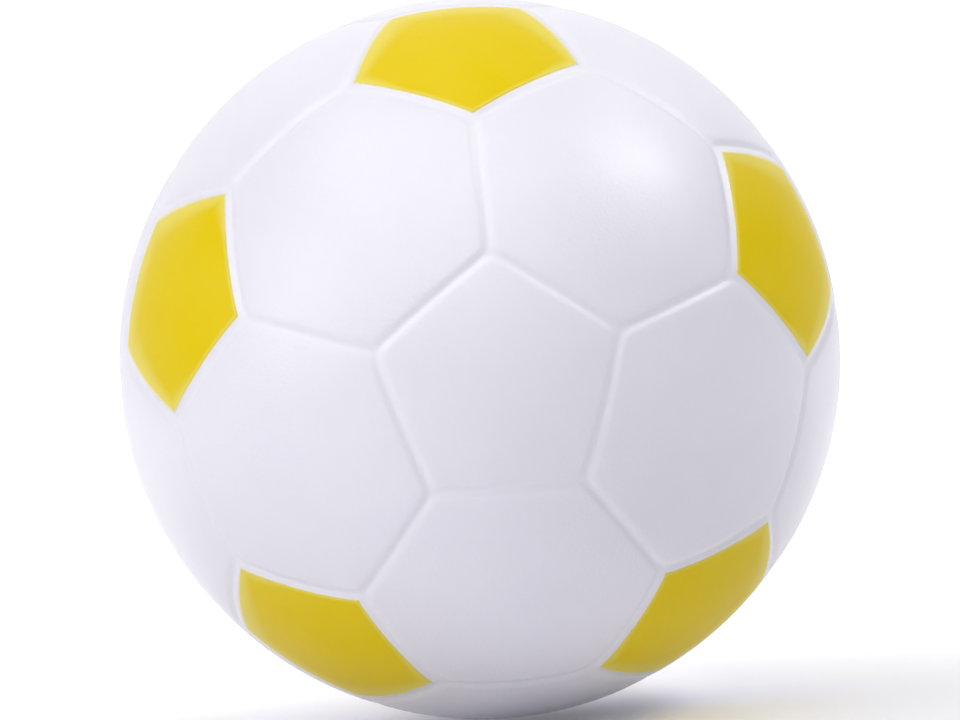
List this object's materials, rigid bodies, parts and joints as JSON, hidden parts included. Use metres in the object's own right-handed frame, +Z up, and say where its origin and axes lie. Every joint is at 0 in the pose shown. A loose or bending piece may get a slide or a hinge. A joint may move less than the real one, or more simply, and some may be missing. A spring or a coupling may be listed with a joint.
{
  "type": "stress ball",
  "caption": "Soft foam ball for squeezing in the hand, moulded with a football pattern of grooves and painted five-sided panels.",
  "frame": {"origin": "centre of the ball", "axes": "+Z up; -Y out through the middle of the unpainted five-sided panel, which has one corner at the top; +X to the right when that panel is faced"},
  "size_m": [0.063, 0.0631, 0.063],
  "materials": {
    "foam": "open-cell soft foam, matte, hidden inside the ball",
    "skin": "self-skinned soft foam, white, satin, very fine grain",
    "yellow_paint": "flexible sprayed paint, satin, edges stop just short of the grooves"
  },
  "bodies": {
    "root": {"foam_core": "foam", "skin": "skin", "yellow_panel_1": "yellow_paint", "yellow_panel_2": "yellow_paint", "yellow_panel_3": "yellow_paint", "yellow_panel_4": "yellow_paint", "yellow_panel_5": "yellow_paint", "yellow_panel_6": "yellow_paint", "yellow_panel_7": "yellow_paint", "yellow_panel_8": "yellow_paint", "yellow_panel_9": "yellow_paint", "yellow_panel_10": "yellow_paint", "yellow_panel_11": "yellow_paint"}
  },
  "joints": []
}
